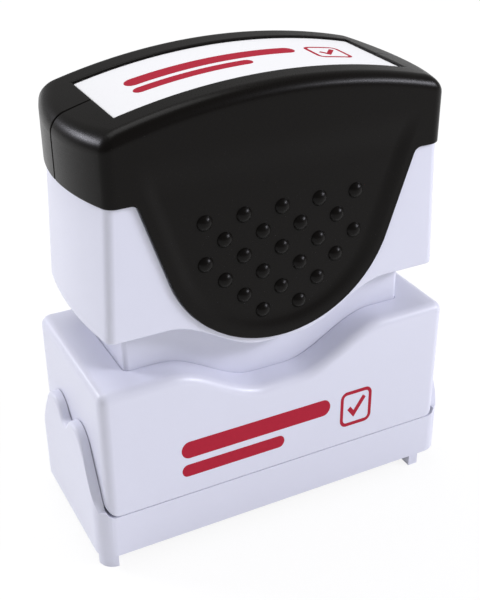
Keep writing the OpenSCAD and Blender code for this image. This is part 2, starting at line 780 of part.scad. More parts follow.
module die_bezel() color("whitesmoke") {
    difference() {
        span_box([-carrier_hw, -carrier_hd, lip_z], [carrier_hw, carrier_hd, bezel_top]);
        span_box([-die_base_hw - seat_gap, -die_base_hd - seat_gap, die_z + die_face_h],
            [die_base_hw + seat_gap, die_base_hd + seat_gap, far]);
        span_box([-die_face_hw - seat_gap, -die_d / 2 - seat_gap, 0],
            [die_face_hw + seat_gap, die_d / 2 + seat_gap, far]);
    }
}

// Coil spring from the bridge up to the deck: one tube along a helix
module return_spring() {
    rings_per_turn = 8;
    sides = 6;
    low = bridge_top + wire_r;
    high = deck_z - wire_r;
    m = spring_turns * rings_per_turn;
    points = [for (k = [0:m]) let (turn = 360 * k / rings_per_turn, z = low + (high - low) * k / m)
        for (i = [0:sides - 1]) let (a = 360 * i / sides, r = spring_r + wire_r * cos(a))
            [r * cos(turn), r * sin(turn), z + wire_r * sin(a)]];
    walls = [for (k = [0:m - 1]) for (i = [0:sides - 1])
        let (a = k * sides + i, b = k * sides + (i + 1) % sides)
            each [[a, b, b + sides], [a, b + sides, a + sides]]];
    ends = [[for (i = [sides - 1:-1:0]) i], [for (i = [0:sides - 1]) m * sides + i]];
    polyhedron(points, concat(ends, walls));
}

module return_spring_left() color("silver") translate([-spring_x, 0, 0]) return_spring();
module return_spring_right() color("silver") translate([spring_x, 0, 0]) return_spring();

base_casing();
bottom_frame();
spring_bridge();
shutter_pivot_left();
shutter_pivot_right();
front_shutter();
rear_shutter();
handle_shell();
front_grip();
rear_grip();
index_label();
plunger();
handle_screws();
shutter_drive_pin_left();
shutter_drive_pin_right();
ink_reservoir();
stamp_die();
die_bezel();
return_spring_left();
return_spring_right();
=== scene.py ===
"""Pre-inked desk stamp, dressed for a studio picture round its packed frame."""

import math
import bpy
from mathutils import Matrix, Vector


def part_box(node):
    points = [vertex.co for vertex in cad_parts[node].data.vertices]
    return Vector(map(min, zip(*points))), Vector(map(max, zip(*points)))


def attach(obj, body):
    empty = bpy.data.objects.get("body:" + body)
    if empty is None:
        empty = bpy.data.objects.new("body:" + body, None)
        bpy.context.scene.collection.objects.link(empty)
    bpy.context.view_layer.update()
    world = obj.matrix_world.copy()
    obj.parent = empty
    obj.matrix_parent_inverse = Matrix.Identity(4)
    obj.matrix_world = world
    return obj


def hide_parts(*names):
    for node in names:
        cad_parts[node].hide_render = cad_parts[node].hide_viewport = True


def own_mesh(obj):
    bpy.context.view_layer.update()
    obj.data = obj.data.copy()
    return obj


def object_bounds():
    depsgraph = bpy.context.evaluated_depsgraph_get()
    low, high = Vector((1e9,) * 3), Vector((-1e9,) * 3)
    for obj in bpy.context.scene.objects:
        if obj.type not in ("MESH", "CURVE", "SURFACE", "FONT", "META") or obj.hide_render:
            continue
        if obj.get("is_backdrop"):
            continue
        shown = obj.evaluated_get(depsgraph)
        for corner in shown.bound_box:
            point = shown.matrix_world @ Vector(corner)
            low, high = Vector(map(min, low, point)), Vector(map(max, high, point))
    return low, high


bl_info = {
    "name": "Pre-inked desk stamp",
    "version": (1, 0, 0),
    "blender": (4, 5, 0),
    "location": "3D View > Sidebar > Stamp",
    "description": "Builds the mouldings, grips, label, springs and studio of a pre-inked desk stamp",
    "category": "Object",
}

import bmesh
import bpy
from bpy.props import FloatProperty, FloatVectorProperty, IntProperty, PointerProperty
from bpy.types import Operator, Panel, PropertyGroup
from mathutils import Matrix, Vector

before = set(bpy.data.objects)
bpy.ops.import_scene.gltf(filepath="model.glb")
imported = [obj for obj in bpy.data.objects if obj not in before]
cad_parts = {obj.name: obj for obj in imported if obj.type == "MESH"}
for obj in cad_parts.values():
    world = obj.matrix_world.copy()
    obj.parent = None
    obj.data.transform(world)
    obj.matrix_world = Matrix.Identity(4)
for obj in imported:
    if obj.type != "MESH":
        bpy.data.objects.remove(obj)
CAD_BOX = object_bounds()

MM = 0.001
# Distance in metres under which two vertices are one, and difference that counts as none
WELD, NONE = 0.002 * MM, 1e-9
# Stations of the handle's and the cap's plan: along a bowed end from mid depth, and round a corner
BOW_STEPS, CORNER_STEPS = 14, 8
# Stations across half of a grip's face (mm): coarse over the round end, fine over the flank and its fillet
FACE_BANDS = ((0, 16.4, 34), (16.4, 23.2, 44), (23.2, 24.4, 4))
# Rows above a grip's lower edge (mm): close together where that edge turns
NEAR_EDGE = (0, 0.02, 0.05, 0.1, 0.16, 0.23, 0.31, 0.4, 0.5, 0.65, 0.85, 1.1, 1.4, 1.8, 2.2, 2.7, 3.2, 3.8)
# Bumps in each row, from the top row down
BUMP_ROWS = (5, 4, 5, 4, 3, 2)
# Printed design (mm): half of the box, its corners, the gap beside it and the tick's points from its middle
BOX_HALF, BOX_CORNER, BOX_GAP = 2.6, 0.9, 2.2
TICK = ((-1.3, 0.1), (-0.4, -1.0), (1.5, 1.5))
# Each printed bar: lower and upper edge (mm) and share of the length
BARS = ((0.15, 2.75, 1.0), (-2.75, -0.85, 0.68))


def linear(code, alpha=1.0):
    """Linear colour of an sRGB hex value."""
    parts = [int(code[i:i + 2], 16) / 255 for i in (0, 2, 4)]
    return (*[c / 12.92 if c <= 0.04045 else ((c + 0.055) / 1.055) ** 2.4 for c in parts], alpha)


def length(name, description, mm):
    """A length property, given in millimetres."""
    return FloatProperty(name=name, description=description, default=mm * MM, min=0, precision=5,
                         unit="LENGTH", subtype="DISTANCE")


def colour(name, description, code):
    """A colour property, given as an sRGB hex value."""
    return FloatVectorProperty(name=name, description=description, default=linear(code), size=4,
                               min=0, max=1, subtype="COLOR")


def angle(name, description, degrees):
    """An angle property, given in degrees."""
    return FloatProperty(name=name, description=description, default=math.radians(degrees),
                         subtype="ANGLE", unit="ROTATION")


class StampCasing(PropertyGroup):
    """Sizes of the white lower casing."""

    half_width: length("Half width", "From the middle to an end face", 29)
    half_depth: length("Half depth", "From the middle to the front face", 13.35)
    top: length("Shoulder height", "Height of the shoulders above the table", 31)
    seam: length("Seam height", "Height of the seam over the lower frame", 9.7)
    edge: length("Edge rounding", "Rounding of the upper and upright edges", 1.5)
    corner: length("Lower corner", "Rounding of the lower corners, seen from the front", 2)
    wall: length("Front wall", "Thickness of the front and back walls", 1)
    end_wall: length("End wall", "Thickness of the end walls", 1.4)
    roof: length("Roof", "Thickness of the roof", 1.4)
    opening_half_width: length("Opening half width", "Half width of the neck's opening", 23.27)
    opening_half_depth: length("Opening half depth", "Half depth of the neck's opening", 8.37)
    wave_depth: length("Wave depth", "Depth of the dip in the roof and in the handle's lower edge", 6)
    wave_flat: length("Wave flat", "Half width of the flat middle of the dip", 2.5)
    wave_end: length("Wave end", "Half width at which the dip has run out", 18)
    ear_half_depth: length("Ear half depth", "Half depth of the ears that plug into the frame", 8)
    ear_low: length("Ear low", "Height of the ears' lower ends", 3.8)


class StampHandle(PropertyGroup):
    """Sizes of the white sliding handle."""

    low: length("Lower edge", "Height of the lower edge at the ends", 38.3)
    top: length("Upper edge", "Height at which the cap starts", 58.3)
    half_width: length("Half width", "Half width of the lower corners", 26.55)
    half_depth: length("Half depth", "From the middle to the front face", 12.35)
    lean: length("Lean", "How much each end leans in towards the cap", 1)
    bow: length("Bow", "How far the ends bow outwards at mid depth", 1.2)
    corner: length("Corner", "Rounding of the upright corners", 1.4)
    wall: length("Wall", "Thickness of the walls", 2)
    deck: length("Deck", "Height of the deck's underside", 55.6)
    deck_top: length("Deck top", "Height of the deck's upper face", 57.3)
    pocket: length("Pocket", "Depth of the pocket that the apron lies in", 0.9)
    pocket_gap: length("Pocket gap", "Gap round the apron in its pocket", 0.1)


class StampGrip(PropertyGroup):
    """Sizes of the two black grips."""

    half_width: length("Half width", "Half width of the cap's corners", 25.4)
    half_depth: length("Half depth", "From the middle to the front face", 12.95)
    bow: length("Bow", "How far the ends bow outwards at mid depth", 2.7)
    corner: length("Corner", "Rounding of the upright corners", 1.9)
    crown: length("Crown", "Height of the crown above the table", 71.4)
    arch: length("Arch radius", "Radius of the arched top", 91)
    edge: length("Upper edge", "Rounding of the upper edge", 2)
    wall: length("Wall", "Thickness of the walls", 1.8)
    seam: length("Seam", "Gap between the two grips", 0.1)
    apron_radius: length("Apron radius", "Radius of the apron's round lower end", 18.2)
    apron_centre: length("Apron centre", "Height of that round end's centre", 51.35)
    apron_lean: angle("Apron lean", "Lean of the apron's straight flanks", 18.4)
    apron_fillet: length("Apron fillet", "Rounding where the flanks meet the cap", 1.2)
    apron_back: length("Apron back", "Distance of the apron's back from mid depth", 11.45)
    lower_edge: length("Lower edge", "Rounding of the apron's and the cap's lower edges", 0.2)
    groove: length("Seam groove", "Depth of the V along the seam between the grips", 0.3)
    dish_rim: length("Dish rim", "Width of the rim round the dished face", 1.0)
    dish_slope: length("Dish slope", "Width of the slope down to the dish's floor", 2.6)
    dish_depth: length("Dish depth", "Depth of the dish", 0.6)
    dish_top: length("Dish top", "Height at which the dish has run out", 64.4)
    dish_fade: length("Dish run-out", "Height over which the dish runs out", 6)
    bump_radius: length("Bump radius", "Radius of a grip bump", 1.2)
    bump_height: length("Bump height", "Height of a grip bump", 0.75)
    bump_pitch: length("Bump pitch", "Spacing of the bumps along a row", 5.93)
    bump_row_pitch: length("Row pitch", "Spacing of the rows", 3.12)
    bump_low: length("Lowest row", "Height of the lowest row above the table", 37.9)
    bump_rings: IntProperty(name="Bump rings", description="Rings of faces on a bump",
                            default=14, min=4)


class StampLabel(PropertyGroup):
    """Sizes of the label and of the printed design."""

    half_length: length("Half length", "Half length of the label", 21.95)
    half_depth: length("Half depth", "Half depth of the label", 7.85)
    sunk: length("Sunk", "How far the label lies under the cap's top", 0.35)
    thickness: length("Thickness", "Thickness of the label", 0.3)
    gap: length("Gap", "Gap round the label in its recess", 0.1)
    ink: length("Ink", "Height of the ink over what it is printed on", 0.015)
    line: length("Line", "Width of a printed line", 0.55)


class StampFinish(PropertyGroup):
    """Colours of the finishes."""

    white: colour("White moulding", "Casing, handle, frame and plunger", "E2E3F0")
    inner: colour("Inner moulding", "Pieces inside the casing", "DEDDDC")
    black: colour("Black moulding", "Grips", "0C0907")
    card: colour("Label card", "Label in the cap", "FBFBFB")
    ink: colour("Ink", "Printed design", "B8243A")
    steel: colour("Steel", "Springs, pivots, pins and screws", "C4C5C9")
    felt: colour("Inked felt", "Ink reservoir", "7E1B29")
    rubber: colour("Die rubber", "Printing die", "A32A3A")
    floor: colour("Floor", "Floor under the stamp", "FCFCFC")


PROPERTY_GROUPS = {
    "stamp_casing": StampCasing,
    "stamp_handle": StampHandle,
    "stamp_grip": StampGrip,
    "stamp_label": StampLabel,
    "stamp_finish": StampFinish,
}


# Shader helpers and finishes

def add_node(tree, kind, sockets=None, **settings):
    """Adds a node with its settings; a socket given as another node's socket is linked."""
    made = tree.nodes.new(kind)
    for name, value in settings.items():
        setattr(made, name, value)
    for name, value in (sockets or {}).items():
        if isinstance(value, bpy.types.NodeSocket):
            tree.links.new(value, made.inputs[name])
        else:
            made.inputs[name].default_value = value
    return made


def new_material(name):
    """An empty node material, its tree, and the object coordinates that its patterns follow."""
    material = bpy.data.materials.new(name)
    material.use_nodes = True
    tree = material.node_tree
    tree.nodes.clear()
    return material, tree, add_node(tree, "ShaderNodeTexCoord").outputs["Object"]


def per_metre(mm):
    """Scale of a pattern whose features are that many millimetres across."""
    return 1 / (mm * MM)


def end_finish(tree, pattern, base, dark, sockets):
    """Ends a finish: its colour falls to the share dark of itself where the pattern is low."""
    low = [c * dark for c in base[:3]] + [1.0]
    tint = add_node(tree, "ShaderNodeMix", {"Factor": pattern, "A": low, "B": list(base)}, data_type="RGBA")
    shader = add_node(tree, "ShaderNodeBsdfPrincipled", {"Base Color": tint.outputs["Result"], **sockets})
    add_node(tree, "ShaderNodeOutputMaterial", {"Surface": shader.outputs["BSDF"]})


def moulded_plastic(name, base, roughness, level, grain_mm, depth_mm, drift):
    """Moulded ABS: even colour with a faint drift, and the tool's fine grain in its gloss and surface."""
    material, tree, place = new_material(name)
    cloud = add_node(tree, "ShaderNodeTexNoise",
                     {"Vector": place, "Scale": per_metre(9), "Detail": 3.0, "Roughness": 0.55})
    grain = add_node(tree, "ShaderNodeTexNoise",
                     {"Vector": place, "Scale": per_metre(grain_mm), "Detail": 2.0, "Roughness": 0.5})
    gloss = add_node(tree, "ShaderNodeMapRange",
                     {"Value": grain.outputs["Fac"], "From Min": 0.3, "From Max": 0.7,
                      "To Min": roughness - 0.04, "To Max": roughness + 0.05})
    relief = add_node(tree, "ShaderNodeBump",
                      {"Height": grain.outputs["Fac"], "Strength": 0.5, "Distance": depth_mm * MM})
    end_finish(tree, cloud.outputs["Fac"], base, 1 - drift,
               {"Roughness": gloss.outputs["Result"], "Normal": relief.outputs["Normal"],
                "IOR": 1.53, "Specular IOR Level": level})
    return material


def coated_card(name, base):
    """Coated label card: bright, flat and smooth, with the fibre of the stock barely showing."""
    material, tree, place = new_material(name)
    fibre = add_node(tree, "ShaderNodeTexNoise",
                     {"Vector": place, "Scale": per_metre(0.5), "Detail": 4.0, "Roughness": 0.7})
    relief = add_node(tree, "ShaderNodeBump",
                      {"Height": fibre.outputs["Fac"], "Strength": 0.3, "Distance": 0.004 * MM})
    end_finish(tree, fibre.outputs["Fac"], base, 0.97,
               {"Roughness": 0.45, "Normal": relief.outputs["Normal"], "IOR": 1.5})
    return material


def printed_ink(name, base):
    """Pad-printed ink: a thin dull film, a little uneven where it is thin."""
    material, tree, place = new_material(name)
    film = add_node(tree, "ShaderNodeTexNoise",
                    {"Vector": place, "Scale": per_metre(0.7), "Detail": 3.0, "Roughness": 0.6})
    end_finish(tree, film.outputs["Fac"], base, 0.84,
               {"Roughness": 0.55, "IOR": 1.48, "Specular IOR Level": 0.12})
    return material


def drawn_steel(name, base):
    """Drawn steel wire and turned pins: bright metal with fine lines in its gloss."""
    material, tree, place = new_material(name)
    lines = add_node(tree, "ShaderNodeTexNoise",
                     {"Vector": place, "Scale": per_metre(0.25), "Detail": 4.0, "Roughness": 0.6})
    gloss = add_node(tree, "ShaderNodeMapRange",
                     {"Value": lines.outputs["Fac"], "To Min": 0.18, "To Max": 0.4})
    tarnish = add_node(tree, "ShaderNodeTexNoise", {"Vector": place, "Scale": per_metre(3), "Detail": 2.0})
    end_finish(tree, tarnish.outputs["Fac"], base, 0.82,
               {"Metallic": 1.0, "Roughness": gloss.outputs["Result"]})
    return material


def porous(name, base, pore_mm, depth_mm, roughness, sheen):
    """Felt or microporous rubber, wet with ink: a dull porous surface with darker pits."""
    material, tree, place = new_material(name)
    pores = add_node(tree, "ShaderNodeTexVoronoi", {"Vector": place, "Scale": per_metre(pore_mm)})
    relief = add_node(tree, "ShaderNodeBump",
                      {"Height": pores.outputs["Distance"], "Strength": 0.6, "Distance": depth_mm * MM})
    end_finish(tree, pores.outputs["Distance"], base, 0.45,
               {"Roughness": roughness, "Normal": relief.outputs["Normal"], "Sheen Weight": sheen})
    return material


# The grain of a real moulding is about 0.05 mm wide. It is drawn coarser here, so that it shows
FINISHES = {
    # White ABS off a polished tool with a light grain: even, satin, slightly cool
    "white_moulding": lambda f: moulded_plastic(
        "white_abs_satin_moulded", f.white, roughness=0.36, level=0.45,
        grain_mm=0.35, depth_mm=0.006, drift=0.03),
    # Plain white ABS of the inner pieces: duller
    "inner_moulding": lambda f: moulded_plastic(
        "white_abs_plain_moulded", f.inner, roughness=0.48, level=0.45,
        grain_mm=0.3, depth_mm=0.008, drift=0.05),
    # Black ABS with a fine spark-eroded grain: deep black, with soft highlights along its edges
    "black_moulding": lambda f: moulded_plastic(
        "black_abs_fine_grain", f.black, roughness=0.3, level=0.115,
        grain_mm=0.16, depth_mm=0.0015, drift=0.12),
    "label": lambda f: coated_card("coated_label_card", f.card),
    "ink": lambda f: printed_ink("pad_printed_ink", f.ink),
    "steel": lambda f: drawn_steel("drawn_steel", f.steel),
    # Felt soaked with ink: dull and dark, with a little sheen off its fibres
    "inked_felt": lambda f: porous("inked_felt", f.felt,
                                   pore_mm=0.35, depth_mm=0.06, roughness=0.85, sheen=0.3),
    # Microporous rubber: pores too fine for the eye, drawn as coarse as they need to show
    "die_rubber": lambda f: porous("microporous_die_rubber", f.rubber,
                                   pore_mm=0.12, depth_mm=0.01, roughness=0.62, sheen=0.0),
}


def finish_of(context, slot):
    """The material of a finish, made once."""
    key = "stamp_finish_" + slot
    made = bpy.data.materials.get(context.scene.get(key, ""))
    if made is None:
        made = FINISHES[slot](context.scene.stamp_finish)
        context.scene[key] = made.name
    return made


# Mesh helpers

def skin(bm, rows, wrap_rows=False, wrap_points=True, caps=False):
    """Joins rows of points into a skin of quads. Each row is a list of (x, y, z)."""
    grid = [[bm.verts.new(p) for p in row] for row in rows]
    m, n = len(grid), len(grid[0])
    for i in range(m if wrap_rows else m - 1):
        a, b = grid[i], grid[(i + 1) % m]
        for j in range(n if wrap_points else n - 1):
            k = (j + 1) % n
            bm.faces.new((a[j], a[k], b[k], b[j]))
    if caps:
        bm.faces.new(list(reversed(grid[0])))
        bm.faces.new(grid[-1])


def box_skin(bm, low, high):
    """A closed box between two corners."""
    corners = [(low[0], low[1]), (high[0], low[1]), (high[0], high[1]), (low[0], high[1])]
    skin(bm, [[(x, y, z) for x, y in corners] for z in (low[2], high[2])], caps=True)


def closed_mesh(name, bm):
    """A mesh of welded, closed shells that face outwards."""
    bmesh.ops.remove_doubles(bm, verts=bm.verts, dist=WELD)
    bmesh.ops.dissolve_degenerate(bm, edges=bm.edges, dist=WELD)
    bmesh.ops.recalc_face_normals(bm, faces=bm.faces)
    mesh = bpy.data.meshes.new(name)
    bm.to_mesh(mesh)
    bm.free()
    return mesh


def baked(context, obj):
    """Replaces the object's mesh by what its modifiers make of it."""
    graph = context.evaluated_depsgraph_get()
    made = bpy.data.meshes.new_from_object(obj.evaluated_get(graph), preserve_all_data_layers=True,
                                           depsgraph=graph)
    obj.modifiers.clear()
    old, obj.data = obj.data, made
    made.name = obj.name
    if not old.users:
        bpy.data.meshes.remove(old)


def add_object(context, name, mesh):
    """Puts a mesh into the scene at the origin."""
    obj = bpy.data.objects.new(name, mesh)
    context.scene.collection.objects.link(obj)
    return obj


def seat_piece(context, obj, slot, body, nodes=(), finish=None, crease=35):
    """Shades a piece, gives it its finish and lets it ride on its body in the place of its nodes."""
    obj.data.shade_smooth()
    obj.data.set_sharp_from_angle(angle=math.radians(crease))
    weighted = obj.modifiers.new("weighted", "WEIGHTED_NORMAL")
    weighted.keep_sharp = True
    baked(context, obj)
    obj.data.materials.clear()
    obj.data.materials.append(finish_of(context, finish or slot))
    if not obj.data.polygons:
        raise RuntimeError(obj.name + " came out empty")
    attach(obj, body)
    if nodes:
        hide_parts(*nodes)
    return obj


def eased_node(context, node, name, slot, body, ease_mm, steps=3, round_mm=0, share=None):
    """A node's own solid with its sharp edges eased, as a moulding or a turned piece has them.
    share(a, b), if given, is the part of round_mm by which an edge from a to b is rounded first."""
    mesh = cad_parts[node].data.copy()
    mesh.name = name
    bm = bmesh.new()
    bm.from_mesh(mesh)
    bmesh.ops.remove_doubles(bm, verts=bm.verts, dist=WELD)
    flat, sharp = math.radians(0.5), math.radians(40)
    bmesh.ops.dissolve_limit(bm, angle_limit=flat, verts=bm.verts, edges=bm.edges)
    if share:
        weight = bm.edges.layers.float.new("bevel_weight_edge")
        for edge in bm.edges:
            if edge.calc_face_angle(0) > sharp:
                edge[weight] = share(*[v.co for v in edge.verts])
    bm.to_mesh(mesh)
    bm.free()
    obj = add_object(context, name, mesh)
    if share:
        rounding = obj.modifiers.new("rounding", "BEVEL")
        rounding.width, rounding.segments = round_mm * MM, 4
        rounding.limit_method, rounding.use_clamp_overlap = "WEIGHT", False
    ease = obj.modifiers.new("ease", "BEVEL")
    ease.width, ease.segments = ease_mm * MM, steps
    ease.limit_method, ease.angle_limit = "ANGLE", sharp
    baked(context, obj)
    return seat_piece(context, obj, slot, body, [node])


def quarter(steps):
    """Sine and cosine over a quarter turn, from 0 to 90 degrees."""
    turns = [math.pi / 2 * i / steps for i in range(steps + 1)]
    return [(math.sin(t), math.cos(t)) for t in turns]


def spaced(low, high, steps):
    """Evenly spaced values, both ends among them."""
    return [low + (high - low) * i / steps for i in range(steps + 1)]


def between(ring, other, t):
    """The ring that lies a share t of the way to another one of as many points."""
    return [(a + (c - a) * t, b + (d - b) * t) for (a, b), (c, d) in zip(ring, other)]


def smooth_step(t):
    """0 below 0, 1 above 1, and a smooth rise between."""
    t = min(1.0, max(0.0, t))
    return t * t * (3 - 2 * t)


def wave_drop(casing, x):
    """How far the wave lies under the shoulders at x."""
    t = (abs(x) - casing.wave_flat) / (casing.wave_end - casing.wave_flat)
    t = min(1.0, max(0.0, t))
    return casing.wave_depth * (1 + math.cos(math.pi * t)) / 2


def rounded_plan(half_width, half_depth, radius, along=96, across=16, turn=8):
    """Ring of a rounded rectangle with fixed counts, anticlockwise from the back right corner."""
    ring = []
    for k, (sx, sy) in enumerate(((1, 1), (-1, 1), (-1, -1), (1, -1))):
        cx, cy = sx * (half_width - radius), sy * (half_depth - radius)
        for i in range(turn + 1):
            a = math.pi / 2 * (k + i / turn)
            ring.append((cx + radius * math.cos(a), cy + radius * math.sin(a)))
        steps = along if k % 2 == 0 else across
        x, y = ring[-1]
        nx, ny = ((-x, y), (x, -y))[k % 2]
        ring += [(x + (nx - x) * i / steps, y + (ny - y) * i / steps) for i in range(1, steps)]
    return ring


def bowed_half(half_width, half_depth, radius, bow, face):
    """Front half of the handle's plan, from mid depth at the right end round to the left end.
    face gives the stations on the front as shares of its half length, from right to left."""
    bow_r = (half_depth ** 2 + bow ** 2) / (2 * bow)
    bow_x = half_width + bow - bow_r
    corner_x = bow_x + math.sqrt((bow_r - radius) ** 2 - (half_depth - radius) ** 2)
    turn_a = math.asin((half_depth - radius) / (bow_r - radius))
    right = [(bow_x + bow_r * math.cos(a), -bow_r * math.sin(a)) for a in spaced(0, turn_a, BOW_STEPS)]
    right += [(corner_x + radius * math.cos(a), radius - half_depth - radius * math.sin(a))
              for a in spaced(turn_a, math.pi / 2, CORNER_STEPS)[1:]]
    front = [(corner_x * f, -half_depth) for f in face]
    return right + front + [(-x, y) for x, y in reversed(right)]


def apron_reach(grip, x, z):
    """How far a point of the grip's face lies inside the apron's outline, its flanks carried on upwards."""
    lean = grip.apron_lean
    x, z = abs(x), z - grip.apron_centre
    if x * math.sin(lean) + z * math.cos(lean) >= 0:
        return grip.apron_radius - x * math.cos(lean) + z * math.sin(lean)
    return grip.apron_radius - math.hypot(x, z)


def flank_fillet(grip, cap_z, grow=0.0):
    """Centre of the rounding between a flank and the cap's lower edge, and where it meets the flank."""
    lean, r = grip.apron_lean, grip.apron_fillet - grow
    corner_x = (grip.apron_radius + grow) / math.cos(lean) + (cap_z - grip.apron_centre) * math.tan(lean)
    cx = corner_x + r * (1 - math.sin(lean)) / math.cos(lean)
    return cx, cap_z - r, cx - r * math.cos(lean), cap_z - r + r * math.sin(lean)


def grip_low(grip, cap_z, x):
    """Height of the black face's lower edge at x: round end, flank, fillet, and the cap's own edge."""
    x = abs(x)
    lean, r = grip.apron_lean, grip.apron_radius
    cx, cz, tx, tz = flank_fillet(grip, cap_z)
    if x <= r * math.cos(lean):
        return grip.apron_centre - math.sqrt(r * r - x * x)
    if x <= tx:
        return tz - (tx - x) / math.tan(lean)
    if x < cx:
        return cz + math.sqrt(max(0.0, grip.apron_fillet ** 2 - (x - cx) ** 2))
    return cap_z


def edge_reach(grip, cap_z, x, z):
    """Distance of a point of the black face from its lower edge."""
    x = abs(x)
    lean = grip.apron_lean
    cx, cz, tx, tz = flank_fillet(grip, cap_z)
    if (x - tx) * math.sin(lean) + (z - tz) * math.cos(lean) < 0:
        return apron_reach(grip, x, z)
    if x < cx:
        return math.hypot(x - cx, z - cz) - grip.apron_fillet
    return z - cap_z


def arched(grip, x, drop=0.0):
    """Height of the cap's arch at x, lowered by drop."""
    r = grip.arch - drop
    return grip.crown - grip.arch + math.sqrt(r * r - x * x)


class StampPiece:
    """What the operators of the pieces share."""

    bl_options = {"REGISTER", "UNDO"}


class STAMP_OT_casing(StampPiece, Operator):
    """White lower casing with its wavy roof and the opening for the neck"""

    bl_idname = "stamp.casing"
    bl_label = "Casing"

    def execute(self, context):
        s = context.scene.stamp_casing

        def bottom(x):
            into = max(0.0, abs(x) - s.half_width + s.corner)
            return s.seam + s.corner - math.sqrt(max(0.0, s.corner ** 2 - into ** 2))

        def roof(x):
            return s.top - wave_drop(s, x)

        # Roundings of the edges that aren't on the panel, and the narrow bands that keep them crisp
        ease, lip, mouth_corner, room_corner, band = [mm * MM for mm in (0.15, 0.12, 0.87, 0.5, 0.2)]
        upright, least = s.edge + 0.1 * MM, 0.05 * MM

        def outer(inset):
            return rounded_plan(s.half_width - inset, s.half_depth - inset, max(least, upright - inset))

        inner = rounded_plan(s.half_width - s.end_wall, s.half_depth - s.wall, room_corner)
        mouth = rounded_plan(s.opening_half_width, s.opening_half_depth, mouth_corner)
        wide_mouth = rounded_plan(s.opening_half_width + lip, s.opening_half_depth + lip, mouth_corner + lip)
        rows = [[(x, y, bottom(x)) for x, y in inner]]
        for up, out in quarter(3):
            rows.append([(x, y, bottom(x) + ease * (1 - out)) for x, y in outer(ease * (1 - up))])
        wall = outer(0)
        rows.append([(x, y, bottom(x) + ease + band) for x, y in wall])
        rows.append([(x, y, roof(x) - s.edge - band) for x, y in wall])
        for up, out in quarter(8):
            rows.append([(x, y, roof(x) - s.edge * (1 - up)) for x, y in outer(s.edge * (1 - out))])
        # Rows close to both edges of the roof keep its shading even
        for t in (0.06, 0.5, 0.94, 1):
            rows.append([(x, y, roof(x)) for x, y in between(outer(s.edge), wide_mouth, t)])
        for up, out in quarter(3)[1:]:
            rows.append([(x, y, roof(x) - lip * (1 - out)) for x, y in between(wide_mouth, mouth, up)])
        rows += [[(x, y, roof(x) - s.roof) for x, y in ring] for ring in (mouth, inner)]
        bm = bmesh.new()
        skin(bm, rows, wrap_rows=True)
        # The ears run into the end walls, and stay a hair inside both of their faces
        ear_top = s.seam + s.corner + 1 * MM
        for side in (-1, 1):
            ends = sorted(side * x for x in (s.half_width - s.end_wall + least, s.half_width - least))
            box_skin(bm, (ends[0], -s.ear_half_depth, s.ear_low), (ends[1], s.ear_half_depth, ear_top))
        obj = add_object(context, "casing_moulding", closed_mesh("casing_moulding", bm))
        seat_piece(context, obj, "white_moulding", "base", ["base_casing"])
        return {"FINISHED"}


class STAMP_OT_frame(StampPiece, Operator):
    """White lower frame with its lobed end panels and feet"""

    bl_idname = "stamp.lower_frame"
    bl_label = "Lower frame"

    def execute(self, context):
        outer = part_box("bottom_frame")[1].x - 0.05 * MM
        # Height of the feet, and the half depth within which the lobes lie, with the width of their run-out
        foot_top, lobes, run_out = 4 * MM, 10 * MM, 3 * MM

        def share(a, b):
            """The end panels' lobes are rounded more than the other edges, and less towards the corners."""
            if min(abs(a.x), abs(b.x)) < outer or min(a.z, b.z) < foot_top:
                return 0.0
            return smooth_step((lobes - max(abs(a.y), abs(b.y))) / run_out)

        eased_node(context, "bottom_frame", "lower_frame_moulding", "white_moulding", "base", 0.2,
                   round_mm=0.6, share=share)
        return {"FINISHED"}


def apron_prism(context, grip, handle, turn):
    """Cutter for the pocket that an apron lies in, which reaches past the handle's front and top."""
    grow, past = handle.pocket_gap, 2 * MM
    r, lean = grip.apron_radius + grow, grip.apron_lean
    cx, cz, _, _ = flank_fillet(grip, handle.top, grow)
    fillet = grip.apron_fillet - grow
    right = [(r * math.sin(a), grip.apron_centre - r * math.cos(a))
             for a in spaced(0, math.pi / 2 - lean, 40)]
    right += [(cx - fillet * math.cos(a), cz + fillet * math.sin(a))
              for a in spaced(lean, math.pi / 2, 8)]
    right.append((cx, handle.top + past))
    outline = right + [(-x, z) for x, z in reversed(right)][:-1]
    depths = (-handle.half_depth - past, handle.pocket - handle.half_depth)
    bm = bmesh.new()
    skin(bm, [[(turn * x, turn * y, z) for x, z in outline] for y in depths], caps=True)
    cutter = add_object(context, "apron_pocket_cutter", closed_mesh("apron_pocket_cutter", bm))
    cutter.hide_render = True
    return cutter


